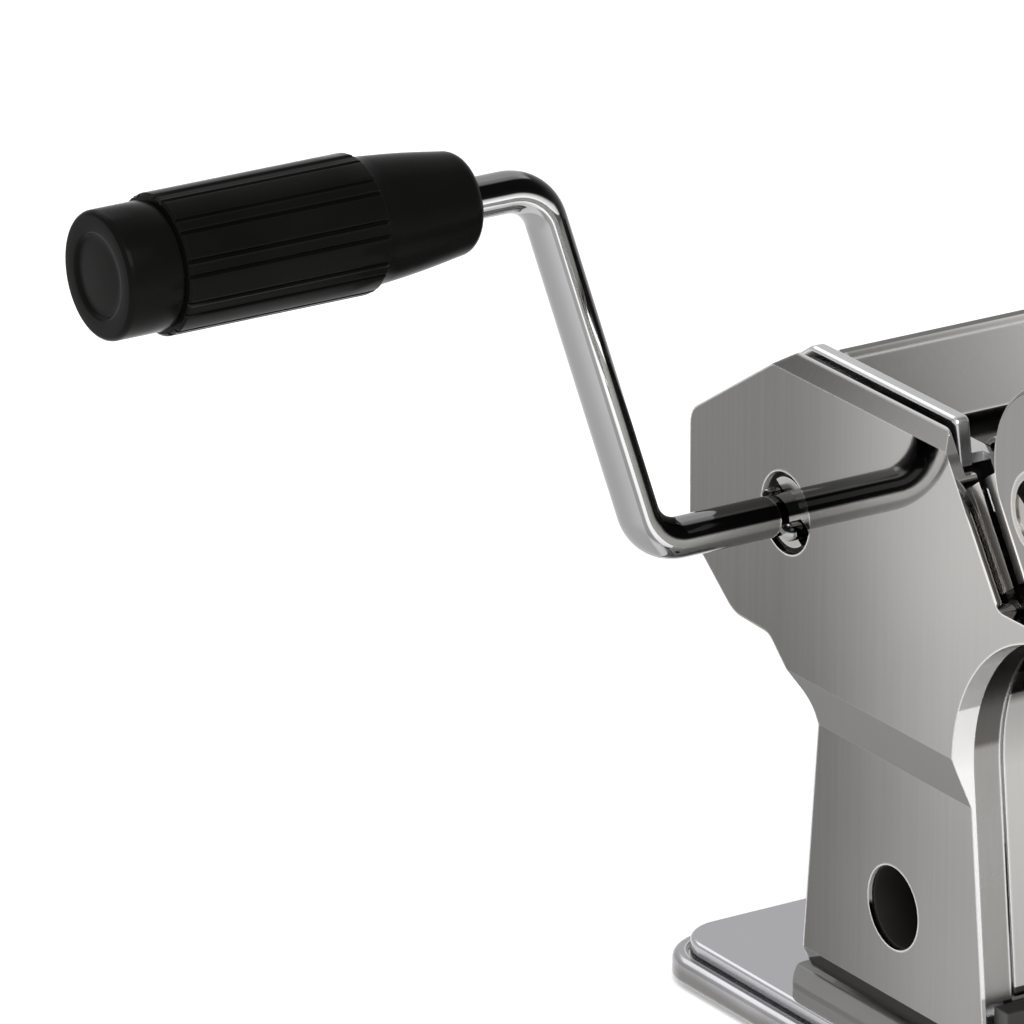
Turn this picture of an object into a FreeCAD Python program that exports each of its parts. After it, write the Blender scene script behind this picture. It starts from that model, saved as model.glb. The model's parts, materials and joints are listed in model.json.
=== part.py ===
import FreeCAD, Part
import math
import os

# A hand-cranked pasta sheeter with a two-width cutter head.
# Units are millimetres. Every shape is drawn in the machine frame: X runs along the rollers with the
# crank at -X, Y points to the back, Z points up, and the origin is on the drive roller's axis at
# mid-width. On export the whole machine moves so that the origin is the bottom centre of its box.

V = FreeCAD.Vector
UP = V(0, 0, 1)
ALONG = V(1, 0, 0)

# Heights and widths
AXIS_HEIGHT = 107.5
FLOOR_Z = -AXIS_HEIGHT
COVER_X = 92.0
LEG_INSET = 4.0
COVER_WALL = 4.8
COVER_TOP_Z = 31.7
CHAMFER_X = 2.4
CHAMFER_Z = 3.5
SHEET = 1.2
WEB_IN = 80.0
WEB_OUT = 82.0
CREST_OUT = 87.9
CREST_IN = 84.5
CREST_TOP_Z = 33.0
PANEL_X = 79.8
RIB_X = 79.0
NOSE_LIP_Z = 3.1

# Rollers and their gears
ROLLER_R = 14.8
ROLLER_X = 75.0
OPEN_Y = -33.6
GAP_TRAVEL = 3.6
SLOT_BACK = -13.0
JOURNAL_R = 6.0
RUNNING = 0.05
GEAR_TEETH = 12
GEAR_MODULE = 2.5
GEAR_X0 = -88.5
GEAR_X1 = -83.5

# Crank sockets: the roller end that the crank plugs into
SOCKET_R = 6.8
SOCKET_BORE_R = 4.05
SOCKET_DEPTH = 30.0
HOLE_R = 8.0
EAR_LEAN = 33.0
EAR_REACH = 4.3
EAR_R = 1.8
SLOT_WIDTH = 4.2
SLOT_DEPTH = 5.0

# Crank and grip
ROD_R = 4.0
BEND_R = 10.0
CRANK_OUT = 30.8
CRANK_LEAN = 24.8
CRANK_ARM = 74.8
GRIP_START = 71.7
GRIP_TAPER = 22.5
GRIP_END = 148.5
CAP_LENGTH = 11.3
GRIP_R = 12.0
RIB_R = 13.1
GRIP_NOSE_R = 9.25

# Gap adjuster: a knob turns two spiral cams
CAM_Y = -53.5
CAM_Z = -1.0
CAM_MIN_R = 6.5
CAM_TURN = 270.0
CAM_CLEAR = 0.12
KNOB_R = 17.0
KNOB_X0 = 95.5
KNOB_X1 = 112.0
KNOB_END = 114.0
KNOB_TRAVEL = 4.0

# Base
BASE_X = 93.5
BASE_BACK = 43.5
BASE_FRONT = -96.5
BASE_CORNER = 11.5
RIM_UNDER = 1.5
RIM_TOP = 6.0
PLATEAU_TOP = 9.0
PLATEAU_Z = FLOOR_Z + PLATEAU_TOP
PLINTH_TOP_Z = -93.3
LEG_BOTTOM_Z = -92.3
FOOT_FOLD_Z = 4.4
FOOT_FOLD_X = 2.0

# Cutter head: axes lie on a line that drops towards the front
HEAD_Y = -75.7
HEAD_Z = 22.6
HEAD_DROP = 20.0
PAIR_GAP = 21.0
PAIR_STEP = 25.5
HEAD_OUT = 88.0
HEAD_IN = 86.0
HEAD_TOP = 25.7
HEAD_BOTTOM = -16.0
HEAD_FRONT = 84.5
HEAD_FRONT_R = 16.0
CUTTER_R = 11.2
GROOVE_R = 9.6
CUTTER_SIDE = 0.12
CUTTER_MODULE = 1.75
CUTTER_GEAR_X0 = -78.8
CUTTER_GEAR_X1 = -75.6
WIDE_PITCH = 13.0
FINE_PITCH = 4.0

# The slanted front of the housing, which carries the head's rails
RAIL_Y = -54.3
RAIL_Z = 25.0
RAIL_DOWN = (-0.543, -0.840)
RAIL_OUT = (-0.840, 0.543)
LIFT_TRAVEL = 30.0

# Accessory sockets low in each leg
SLEEVE_Y = -31.2
SLEEVE_Z = -69.8
SLEEVE_R = 8.0
SLEEVE_LENGTH = 20.0

X_MIN = -COVER_X - GRIP_END
X_MID = (X_MIN + KNOB_END) / 2

# Side outline of the covers: (y, z, corner radius), from the top back corner round to the top front
COVER_OUTLINE = [
    (-0.6, COVER_TOP_Z, 2.0), (32.5, 10.8, 5.0), (32.5, -13.7, 8.0), (17.3, -25.4, 8.0), (5.3, -25.8, 4.0),
    (-6.2, -36.0, 6.0), (-0.8, LEG_BOTTOM_Z, 0.8), (-62.0, LEG_BOTTOM_Z, 0.8), (-52.9, -7.0, 32.0),
    (-82.0, 0.0, 1.2), (-82.0, 2.6, 1.2), (-69.6, 2.6, 3.0), (-50.0, COVER_TOP_Z, 2.5),
]


# ---------------------------------------------------------------- helpers

def in_yz(x):
    return lambda a, b: V(x, a, b)


def in_xz(y):
    return lambda a, b: V(a, y, b)


def in_xy(z):
    return lambda a, b: V(a, b, z)


def corner(before, point, after):
    """Start, middle and end of the arc that rounds one corner of an outline."""
    px, py, radius = point
    to_a = (before[0] - px, before[1] - py)
    to_b = (after[0] - px, after[1] - py)
    len_a = math.hypot(*to_a)
    len_b = math.hypot(*to_b)
    ua = (to_a[0] / len_a, to_a[1] / len_a)
    ub = (to_b[0] / len_b, to_b[1] / len_b)
    half = math.acos(max(-1.0, min(1.0, ua[0] * ub[0] + ua[1] * ub[1]))) / 2
    reach = radius / math.tan(half)
    mid = (ua[0] + ub[0], ua[1] + ub[1])
    scale = (radius / math.sin(half) - radius) / math.hypot(*mid)
    start = (px + ua[0] * reach, py + ua[1] * reach)
    end = (px + ub[0] * reach, py + ub[1] * reach)
    return start, (px + mid[0] * scale, py + mid[1] * scale), end


def rounded_wire(points, place, closed=True):
    """Straight runs through (a, b, radius) points, each corner rounded by its own radius."""
    count = len(points)
    stops = []
    for i, point in enumerate(points):
        if point[2] <= 0 or (not closed and i in (0, count - 1)):
            stops.append((point[:2], None, point[:2]))
        else:
            stops.append(corner(points[i - 1], point, points[(i + 1) % count]))
    edges = []
    for i, (start, middle, end) in enumerate(stops):
        if middle:
            edges.append(Part.Arc(place(*start), place(*middle), place(*end)).toShape())
        if i < count - 1 or closed:
            following = stops[(i + 1) % count][0]
            if math.dist(end, following) > 1e-6:
                edges.append(Part.LineSegment(place(*end), place(*following)).toShape())
    return Part.Wire(edges)


def plate(points, x0, x1):
    """An outline in the YZ plane, thickened from x0 to x1."""
    return Part.Face(rounded_wire(points, in_yz(x0))).extrude(V(x1 - x0, 0, 0))


def bar(points, y0, y1):
    """An outline in the XZ plane, drawn out from y0 to y1."""
    return Part.Face(rounded_wire(points, in_xz(y0))).extrude(V(0, y1 - y0, 0))


def slab(points, z0, z1):
    """An outline in the XY plane, raised from z0 to z1."""
    return Part.Face(rounded_wire(points, in_xy(z0))).extrude(V(0, 0, z1 - z0))


def offset_path(points, distance):
    """The path moved to its left by a distance, with its bend radii kept concentric."""
    moved = []
    for i, (a, b, radius) in enumerate(points):
        before = points[max(i - 1, 0)]
        after = points[min(i + 1, len(points) - 1)]
        directions = []
        for p, q in ((before, (a, b)), ((a, b), after)):
            length = math.hypot(q[0] - p[0], q[1] - p[1])
            if length > 1e-9:
                directions.append(((q[0] - p[0]) / length, (q[1] - p[1]) / length))
        first, last = directions[0], directions[-1]
        normal = (-first[1] - last[1], first[0] + last[0])
        scale = 2 * distance / (normal[0] ** 2 + normal[1] ** 2)
        turn = first[0] * last[1] - first[1] * last[0]
        new_radius = radius - math.copysign(distance, turn) if radius > 0 else 0
        moved.append((a + normal[0] * scale, b + normal[1] * scale, max(new_radius, 0)))
    return moved


def bent_sheet(points, x0, x1, thickness=SHEET):
    """A sheet that follows a path in the YZ plane, thickened to the path's left."""
    inside = rounded_wire(points, in_yz(x0), closed=False)
    outside = rounded_wire(offset_path(points, thickness), in_yz(x0), closed=False)
    ends = []
    for near, far in ((points[0], offset_path(points, thickness)[0]),
                      (points[-1], offset_path(points, thickness)[-1])):
        ends.append(Part.LineSegment(V(x0, near[0], near[1]), V(x0, far[0], far[1])).toShape())
    wire = Part.Wire(Part.__sortEdges__(inside.Edges + outside.Edges + ends))
    return Part.Face(wire).extrude(V(x1 - x0, 0, 0))


def box(x0, x1, y0, y1, z0, z1):
    return Part.makeBox(x1 - x0, y1 - y0, z1 - z0, V(x0, y0, z0))


def rod(x0, x1, y, z, radius):
    return Part.makeCylinder(radius, x1 - x0, V(x0, y, z), ALONG)


def tube(x0, x1, y, z, outer, inner):
    return rod(x0, x1, y, z, outer).cut(rod(x0 - 1, x1 + 1, y, z, inner))


def post(x, y, z0, z1, radius):
    return Part.makeCylinder(radius, z1 - z0, V(x, y, z0), UP)


def mirrored(shape):
    return shape.mirror(V(0, 0, 0), ALONG)


def both_sides(shape):
    return Part.makeCompound([shape, mirrored(shape)])


def fused(shapes):
    result = shapes[0]
    if len(shapes) > 1:
        result = result.multiFuse(shapes[1:])
    return result.removeSplitter()


def turned_profile(stations, y, z):
    """A solid of revolution about an X-parallel axis through its (x, radius) stations."""
    points = [V(stations[0][0], y, z)]
    points += [V(x, y, z + radius) for x, radius in stations]
    points.append(V(stations[-1][0], y, z))
    points.append(points[0])
    return Part.Face(Part.makePolygon(points)).revolve(V(0, y, z), ALONG, 360)


def involute_flank(base_radius, start_radius, tip_radius, steps=6):
    """Points (radius, polar angle) of an involute flank, from its root to its tip."""
    points = []
    first = max(base_radius, start_radius)
    for i in range(steps + 1):
        radius = first + (tip_radius - first) * i / steps
        roll = math.sqrt(max((radius / base_radius) ** 2 - 1, 0))
        points.append((radius, roll - math.atan(roll)))
    if start_radius < base_radius:
        points.insert(0, (start_radius, 0.0))
    return points


def gear(module, teeth, x0, x1, y, z, bore, phase, backlash=0.22, pressure=25.0):
    """A spur gear; phase is the angle in degrees from +Y to the middle of a tooth."""
    pitch_r = module * teeth / 2
    base_r = pitch_r * math.cos(math.radians(pressure))
    tip_r = pitch_r + module
    root_r = pitch_r - 1.2 * module
    pitch_roll = math.tan(math.radians(pressure)) - math.radians(pressure)
    half_tooth = math.pi / (2 * teeth) - backlash / (2 * pitch_r)
    flank = involute_flank(base_r, root_r, tip_r)
    polar = []
    for tooth in range(teeth):
        centre = math.radians(phase) + 2 * math.pi * tooth / teeth
        for radius, angle in flank:
            polar.append((radius, centre - half_tooth - pitch_roll + angle))
        for radius, angle in reversed(flank):
            polar.append((radius, centre + half_tooth + pitch_roll - angle))
    points = [V(x0, y + r * math.cos(a), z + r * math.sin(a)) for r, a in polar]
    blank = Part.Face(Part.makePolygon(points + [points[0]])).extrude(V(x1 - x0, 0, 0))
    return blank.cut(rod(x0 - 1, x1 + 1, y, z, bore))


def coil(x, y, z, radius, wire_radius, length, turns, axis):
    """A round-wire compression spring with its fixed end at (x, y, z)."""
    helix = Part.makeHelix(length / turns, length, radius)
    profile = Part.Wire(Part.makeCircle(wire_radius, V(radius, 0, 0), V(0, 1, 0)))
    spring = Part.Wire(helix).makePipeShell([profile], True, True)
    spring.Placement = FreeCAD.Placement(V(x, y, z), FreeCAD.Rotation(UP, axis))
    return spring


def head_point(h, g):
    """From the head's own plane (h forward along its axes, g up) to machine Y and Z."""
    drop = math.radians(HEAD_DROP)
    return (HEAD_Y - h * math.cos(drop) - g * math.sin(drop),
            HEAD_Z - h * math.sin(drop) + g * math.cos(drop))


def rail_point(down, out):
    """From the slanted front (down along it, out from it) to machine Y and Z."""
    return (RAIL_Y + down * RAIL_DOWN[0] + out * RAIL_OUT[0],
            RAIL_Z + down * RAIL_DOWN[1] + out * RAIL_OUT[1])


def head_box(x0, x1, h0, h1, g0, g1):
    return plate([(*head_point(h, g), 0) for h, g in ((h0, g0), (h1, g0), (h1, g1), (h0, g1))], x0, x1)


def rail_box(x0, x1, down0, down1, out0, out1):
    corners = ((down0, out0), (down1, out0), (down1, out1), (down0, out1))
    return plate([(*rail_point(d, o), 0) for d, o in corners], x0, x1)


# ---------------------------------------------------------------- base

def rim_outline(inset):
    side = BASE_X - inset
    front = BASE_FRONT + inset
    back = BASE_BACK - inset
    radius = BASE_CORNER - inset * 0.8
    return [(-side, front, radius), (side, front, radius), (side, back, radius), (-side, back, radius)]


def bolt_places():
    return [(side * 73.0, y) for side in (-1, 1) for y in (-48.0, -16.0)]


def base_tray():
    """A pressed tray: a raised plateau, a narrow groove, and a lower rounded rim."""
    rim = slab(rim_outline(0), FLOOR_Z + RIM_UNDER, FLOOR_Z + RIM_TOP)
    top_edges = [e for e in rim.Edges if e.BoundBox.ZMin > FLOOR_Z + RIM_TOP - 0.01]
    rim = rim.makeFillet(1.6, top_edges)
    plateau = slab(rim_outline(3.2), FLOOR_Z + RIM_UNDER, PLATEAU_Z)
    shoulder = [e for e in plateau.Edges if e.BoundBox.ZMin > PLATEAU_Z - 0.01]
    plateau = plateau.makeFillet(0.9, shoulder)
    groove = slab(rim_outline(2.4), FLOOR_Z + RIM_TOP - 0.8, FLOOR_Z + RIM_TOP + 1)
    groove = groove.cut(slab(rim_outline(3.2), FLOOR_Z, PLATEAU_Z))
    hollow = slab(rim_outline(3.2 + SHEET), FLOOR_Z, PLATEAU_Z - SHEET)
    rim_hollow = slab(rim_outline(SHEET), FLOOR_Z, FLOOR_Z + RIM_TOP - 0.8 - SHEET)
    tray = rim.fuse(plateau).cut(groove).cut(hollow).cut(rim_hollow)
    for x, y in bolt_places():
        tray = tray.cut(post(x, y, PLATEAU_Z - 5, PLATEAU_Z + 1, 2.6))
    return tray.removeSplitter()


def base_feet():
    feet = []
    for x in (-BASE_X + 17, BASE_X - 17):
        for y in (BASE_FRONT + 17, BASE_BACK - 17):
            pad = post(x, y, FLOOR_Z, PLATEAU_Z - SHEET, 8.0)
            feet.append(pad.cut(post(x, y, FLOOR_Z - 1, FLOOR_Z + 2, 2.5)))
    return Part.makeCompound(feet)


def leg_plinths():
    """The dark spreader blocks between the legs and the base, flared out at the bottom."""
    profile = [(-90.1, PLATEAU_Z, 0), (-67.0, PLATEAU_Z, 0), (-67.0, PLINTH_TOP_Z, 0),
               (-86.6, PLINTH_TOP_Z, 1.0), (-89.6, PLINTH_TOP_Z - 2.6, 2.0)]
    plinth = bar(profile, -66.0, 3.2)
    bounds = slab([(-90.1, -66.0, 6.0), (-67.0, -66.0, 0.5), (-67.0, 3.2, 0.5), (-90.1, 3.2, 6.0)],
                  PLATEAU_Z - 1, PLINTH_TOP_Z + 1)
    plinth = plinth.common(bounds)
    for x, y in bolt_places()[:2]:
        plinth = plinth.cut(post(x, y, PLATEAU_Z - 1, PLINTH_TOP_Z + 1, 2.6))
    return both_sides(plinth)


def base_bolts():
    bolts = []
    for x, y in bolt_places():
        head = Part.makeCylinder(4.0, 2.0, V(x, y, PLATEAU_Z - SHEET - 2.0), UP)
        shank = post(x, y, PLATEAU_Z - SHEET, PLINTH_TOP_Z + 2.0, 2.5)
        nut = hexagon(x, y, PLINTH_TOP_Z + 2.0, 3.0, 4.2).cut(post(x, y, PLINTH_TOP_Z, 0, 2.5))
        tip = post(x, y, PLINTH_TOP_Z + 2.0, PLINTH_TOP_Z + 5.6, 2.5)
        bolts.append(fused([head, shank, tip, nut]))
    return Part.makeCompound(bolts)


def hexagon(x, y, z, height, across):
    """A nut blank standing on z, with its corner radius as across."""
    corners = []
    for i in range(7):
        angle = math.radians(60 * i)
        corners.append(V(x + across * math.cos(angle), y + across * math.sin(angle), z))
    return Part.Face(Part.makePolygon(corners)).extrude(V(0, 0, height))


def front_sill():
    """The black cross piece between the legs, at the foot of the front panel."""
    sill = box(-86.0, 86.0, -66.0, -61.6, PLINTH_TOP_Z, -79.5)
    foot = box(-66.8, 66.8, -66.0, -61.6, PLATEAU_Z, PLINTH_TOP_Z)
    return fused([sill, foot])


# ---------------------------------------------------------------- housing

def leg_line(shift):
    """Cross-section of the cover's face in X and Z, pushed in from the outside by a shift."""
    leg = -COVER_X + LEG_INSET + shift
    top = -COVER_X + shift
    return [(leg + FOOT_FOLD_X, LEG_BOTTOM_Z), (leg, LEG_BOTTOM_Z + FOOT_FOLD_Z), (leg, -41.3),
            (top, -31.0), (top, COVER_TOP_Z - CHAMFER_Z), (top + CHAMFER_X, COVER_TOP_Z)]


def behind_face(shift):
    """Everything inboard of the cover's face, as a bar along Y."""
    face = leg_line(shift)
    face = [(face[0][0], -120.0)] + face + [(face[-1][0] + 3.0, 36.0)]
    points = [(x, z, 0) for x, z in face]
    points += [(-60.0, 36.0, 0), (-60.0, -120.0, 0)]
    return bar(points, -120.0, 60.0)


def inset_outline(distance, x0, x1):
    """The cover's outline shrunk by a distance and thickened from x0 to x1."""
    face = Part.Face(rounded_wire(COVER_OUTLINE, in_yz(x0)))
    if distance:
        face = face.makeOffset2D(-distance, 0)
    return face.extrude(V(x1 - x0, 0, 0))


def foot_fold(out, inward, y0, y1):
    """A bar along the slope at the foot of the leg, from out to inward of the leg's face."""
    top = LEG_BOTTOM_Z + FOOT_FOLD_Z
    leg = -COVER_X + LEG_INSET
    foot = leg + FOOT_FOLD_X
    return bar([(leg - out, top, 0), (leg + inward, top, 0), (foot + inward, LEG_BOTTOM_Z, 0),
                (foot - out, LEG_BOTTOM_Z, 0)], y0, y1)


def side_cover_left():
    """A polished pressed pan with a chamfered top, an inset leg folded in at its foot, and a return wall."""
    outside = inset_outline(0, -COVER_X, -COVER_X + COVER_WALL).common(behind_face(0))
    inside = inset_outline(SHEET, -COVER_X, -COVER_X + COVER_WALL + 1).common(behind_face(SHEET))
    cover = outside.cut(inside)
    open_top = box(-COVER_X + CHAMFER_X, -COVER_X + COVER_WALL + 1, -60.0, 20.0, 24.0, COVER_TOP_Z + 1)
    cover = fused([cover.cut(open_top), foot_fold(0, COVER_WALL - LEG_INSET, -60.4, -1.4)])
    cover = cover.cut(rod(-COVER_X - 1, -COVER_X + 3, 0, 0, HOLE_R))
    return cover.cut(rod(-COVER_X, -COVER_X + 8, SLEEVE_Y, SLEEVE_Z, SLEEVE_R + 0.2))


def side_cover_right():
    cover = mirrored(side_cover_left())
    crank_patch = rod(COVER_X - SHEET, COVER_X, 0, 0, HOLE_R)
    cover = fused([cover, crank_patch])
    return cover.cut(rod(COVER_X - 5, COVER_X + 1, CAM_Y, CAM_Z, 4.0))


def bearing_slot():
    """The window in a side frame that the front roller's bearing block slides in."""
    return box(-WEB_OUT - 1, -WEB_IN + 1, OPEN_Y - 10.4, SLOT_BACK, -12.0, 12.0)


def side_frame_left():
    """A steel side plate with a shelf over the gears, a rounded top bar and a bolted foot."""
    web = inset_outline(1.8, -WEB_OUT, -WEB_IN)
    web = web.cut(box(-WEB_OUT - 1, -WEB_IN + 1, -100, 60, 26.0, 40))
    web = web.fuse(box(-WEB_OUT, -WEB_IN, -58.0, -4.0, PLINTH_TOP_Z, LEG_BOTTOM_Z + 3.0))
    shelf = box(-CREST_OUT, -WEB_IN, -50.0, 4.0, 24.0, 26.0)
    crest = plate([(-50.8, 24.0, 0), (-49.2, CREST_TOP_Z, 1.6), (-1.6, CREST_TOP_Z, 4.0), (10.5, 24.9, 0.5),
                   (9.9, 24.0, 0)], -CREST_OUT, -CREST_IN)
    long_edges = [e for e in crest.Edges if e.BoundBox.ZMin > CREST_TOP_Z - 0.1 and e.Length > 20]
    crest = crest.makeFillet(0.9, long_edges)
    foot = box(-WEB_OUT, -68.0, -56.0, -8.0, PLINTH_TOP_Z, PLINTH_TOP_Z + 2.0)
    frame = fused([web, shelf, crest, foot])
    frame = frame.cut(bearing_slot())
    frame = frame.cut(rod(-WEB_OUT - 1, -WEB_IN + 1, 0, 0, 8.5))
    frame = frame.cut(rod(-WEB_OUT - 1, -WEB_IN + 1, CAM_Y, CAM_Z, 4.5))
    frame = frame.cut(rod(-WEB_OUT - 1, -WEB_IN + 1, SLEEVE_Y, SLEEVE_Z, SLEEVE_R + 2))
    for y, z in tie_places():
        frame = frame.cut(rod(-WEB_OUT - 1, -WEB_IN + 1, y, z, 2.6))
    for x, y in bolt_places()[:2]:
        frame = frame.cut(post(x, y, PLINTH_TOP_Z - 1, PLINTH_TOP_Z + 3, 2.6))
    return frame


def tie_places():
    return [(24.5, -3.0), (-51.0, 15.9), (-12.0, -82.0), (-52.0, -84.0)]


def tie_rods():
    rods = []
    for y, z in tie_places():
        rods.append(fused([rod(-WEB_IN, WEB_IN, y, z, 3.2), rod(-86.0, 86.0, y, z, 2.5)]))
    return Part.makeCompound(rods)


def tie_rod_nuts():
    nuts = []
    for y, z in tie_places():
        for x0 in (-85.4, WEB_OUT):
            points = []
            for i in range(7):
                angle = math.radians(60 * i)
                points.append(V(x0, y + 4.4 * math.cos(angle), z + 4.4 * math.sin(angle)))
            nut = Part.Face(Part.makePolygon(points)).extrude(V(3.4, 0, 0))
            nuts.append(nut.cut(rod(x0 - 1, x0 + 5, y, z, 2.5)))
    return Part.makeCompound(nuts)


def cover_posts():
    """Stand-offs that hold each cover off its side frame."""
    posts = []
    for y, z in ((23.5, -13.0), (-60.0, -4.0)):
        posts.append(tube(-COVER_X + SHEET, -WEB_OUT, y, z, 3.0, 1.5))
    for y, z in ((-12.0, -60.0), (-50.0, -56.0)):
        posts.append(tube(-COVER_X + LEG_INSET + SHEET, -WEB_OUT, y, z, 3.0, 1.5))
    return Part.makeCompound(posts + [mirrored(p) for p in posts])


def accessory_socket():
    """A blind sleeve behind the lower hole, for a clamp peg or a motor peg."""
    mouth = -COVER_X + LEG_INSET + SHEET
    outside = rod(mouth, mouth + SLEEVE_LENGTH + 1.5, SLEEVE_Y, SLEEVE_Z, SLEEVE_R + 2)
    return outside.cut(rod(mouth - 1, mouth + SLEEVE_LENGTH, SLEEVE_Y, SLEEVE_Z, SLEEVE_R))


def front_path(inset):
    """The arch and the front of the leg, as a path that runs down from the nose."""
    path = [(-81.4, 0.0, 0), (-52.9, -7.0, 32.0), (-60.7, -79.5, 0)]
    return offset_path(path, inset)


def arch_flanges():
    """The narrow bright strips that edge the front panel, one beside each cover."""
    strip = bent_sheet(front_path(0.5), -COVER_X + COVER_WALL, -81.0)
    return both_sides(strip.cut(foot_fold(4.0, 0, -70.0, -50.0)))


def arch_panel():
    """The curved front panel under the cutter head."""
    return bent_sheet(front_path(1.1), -PANEL_X, PANEL_X, 1.0)


def rear_cover():
    """The back shell over the drive roller, which stops above the sheet's way out."""
    path = [(1.0, 30.6, 0), (32.5, 10.8, 5.0), (32.5, -13.7, 8.0), (17.3, -25.4, 8.0),
            (5.3, -25.8, 4.0), (-0.5, -30.9, 0)]
    return bent_sheet(offset_path(path, -1.8), -PANEL_X, PANEL_X, 1.0)


def rear_guide_plate():
    """The sloping feed plate above the drive roller, with a rolled top edge."""
    slope = bent_sheet([(-11.0, 16.4, 0), (-2.0, 28.4, 0)], -PANEL_X, PANEL_X, 1.0)
    roll = rod(-PANEL_X, PANEL_X, -1.3, 28.7, 1.1)
    return fused([slope, roll])


def front_guide_plate():
    """The feed plate over the front roller, bent down the slanted front to the nose."""
    down_top = rail_point(-5.6, -0.4)
    path = [(-38.0, 17.5, 0), (down_top[0], down_top[1], 2.4), (-68.2, NOSE_LIP_Z, 2.4),
            (-81.6, NOSE_LIP_Z, 0)]
    return bent_sheet(path, -PANEL_X, PANEL_X, 1.0)


def head_rails():
    """T-shaped rails on the slanted front that the cutter head slides down onto."""
    neck = rail_box(-83.9, -WEB_OUT, 3.0, 25.0, -3.0, 1.6)
    cap = rail_box(-84.8, -81.2, 3.0, 25.0, 1.6, 3.0)
    return both_sides(fused([neck, cap]))


def frame_bushes():
    left = tube(-83.2, -79.4, 0, 0, 8.5, SOCKET_R + RUNNING)
    right = tube(79.4, 83.2, 0, 0, 8.5, JOURNAL_R + RUNNING)
    cam_left = tube(-82.0, -79.6, CAM_Y, CAM_Z, 4.5, 3.05)
    cam_right = tube(79.6, 82.0, CAM_Y, CAM_Z, 4.5, 3.05)
    return Part.makeCompound([left, right, cam_left, cam_right])


def drive_scraper():
    """A spring-steel blade that keeps dough off the drive roller."""
    return bent_sheet([(3.2, -15.4, 0), (12.5, -20.6, 0)], -74.0, 74.0, 0.8).cut(scraper_bar())


def scraper_bar():
    return rod(-WEB_IN, WEB_IN, 12.8, -17.9, 2.4)


def dial_ring():
    """The numbered ring behind the knob, with the running groove for the knob's peg."""
    ring = tube(COVER_X, KNOB_X0 - 0.6, CAM_Y, CAM_Z, 22.0, 4.5)
    rim = [e for e in ring.Edges if e.BoundBox.XMin > KNOB_X0 - 0.7 and e.BoundBox.YLength > 40]
    ring = ring.makeChamfer(0.8, rim)
    return ring.cut(tube(COVER_X + 0.9, KNOB_X0, CAM_Y, CAM_Z, 14.4, 12.0))


# ---------------------------------------------------------------- drive roller

def socket_end(x0, x1, y, z, neck_to):
    """The hollow roller end that takes the crank: a tube with a cross slot for the crank's ears."""
    shape = tube(x0, neck_to, y, z, SOCKET_R, SOCKET_BORE_R)
    slot = box(x0 - 1, x0 + SLOT_DEPTH, y - 8, y + 8, z - SLOT_WIDTH / 2, z + SLOT_WIDTH / 2)
    slot.rotate(V(x0, y, z), ALONG, EAR_LEAN)
    return shape.cut(slot)


def drive_roller():
    mouth = -COVER_X + 0.8
    body = rod(-ROLLER_X, ROLLER_X, 0, 0, ROLLER_R)
    body = body.cut(rod(-ROLLER_X - 1, -COVER_X + SOCKET_DEPTH + 2, 0, 0, SOCKET_BORE_R))
    journal = rod(ROLLER_X, 84.0, 0, 0, JOURNAL_R)
    collar = tube(-79.2, -ROLLER_X, 0, 0, 9.0, SOCKET_BORE_R)
    return fused([body, collar, journal, socket_end(mouth, 0, 0, 0, -ROLLER_X)])


def drive_gear():
    return gear(GEAR_MODULE, GEAR_TEETH, GEAR_X0, GEAR_X1, 0, 0, SOCKET_R, 180.0)


# ---------------------------------------------------------------- crank and grip

def crank_path():
    """Centre line of the rod, from inside the socket to the far end of the grip."""
    first = -COVER_X - CRANK_OUT
    second = first - CRANK_LEAN
    return [(-COVER_X + SOCKET_DEPTH - 3.0, 0.0, 0), (first, 0.0, BEND_R), (second, CRANK_ARM, BEND_R),
            (-COVER_X - GRIP_END + 12.5, CRANK_ARM, 0)]


def crank_ear(side):
    """A round-ended lobe beside the rod's axis."""
    y = side * EAR_REACH * math.cos(math.radians(EAR_LEAN))
    z = side * EAR_REACH * math.sin(math.radians(EAR_LEAN))
    lobe = rod(-COVER_X - 2.8, -COVER_X + 4.2, y, z, EAR_R)
    return lobe.makeFillet(1.3, [e for e in lobe.Edges if e.BoundBox.XLength < 0.01])


def crank_rod():
    """One bent steel rod, pinched into two ears that key into the socket's slot."""
    path = rounded_wire(crank_path(), in_xz(0.0), closed=False)
    start = crank_path()[0][0]
    profile = Part.Wire(Part.makeCircle(ROD_R, V(start, 0, 0), ALONG))
    shaft = path.makePipeShell([profile], True, False)
    return fused([shaft] + [crank_ear(side) for side in (-1, 1)])


def grip_retainer():
    x = -COVER_X - GRIP_END + CAP_LENGTH + 3.6
    return tube(x, x + 1.4, 0, CRANK_ARM, 6.6, ROD_R)


def grip_body():
    """The ribbed hand grip: a straight fluted barrel and a smooth tapered nose."""
    nose = -COVER_X - GRIP_START
    barrel = nose - GRIP_TAPER
    seat = -COVER_X - GRIP_END + CAP_LENGTH
    stations = [(seat, GRIP_R - 0.6), (seat + 0.8, RIB_R), (barrel - 0.8, RIB_R), (barrel, GRIP_R),
                (nose - 2.6, GRIP_NOSE_R + 0.5), (nose - 0.9, GRIP_NOSE_R - 0.4), (nose, GRIP_NOSE_R - 2.2)]
    shell = turned_profile(stations, 0, CRANK_ARM)
    for i in range(18):
        angle = math.radians(20 * i)
        y = (RIB_R + 0.5) * math.cos(angle)
        z = CRANK_ARM + (RIB_R + 0.5) * math.sin(angle)
        shell = shell.cut(rod(seat - 1, barrel + 0.2, y, z, 1.25))
    shell = shell.cut(rod(seat - 1, nose + 1, 0, CRANK_ARM, ROD_R + 0.08))
    return shell.cut(rod(seat - 1, seat + 5.4, 0, CRANK_ARM, 7.2))


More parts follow.
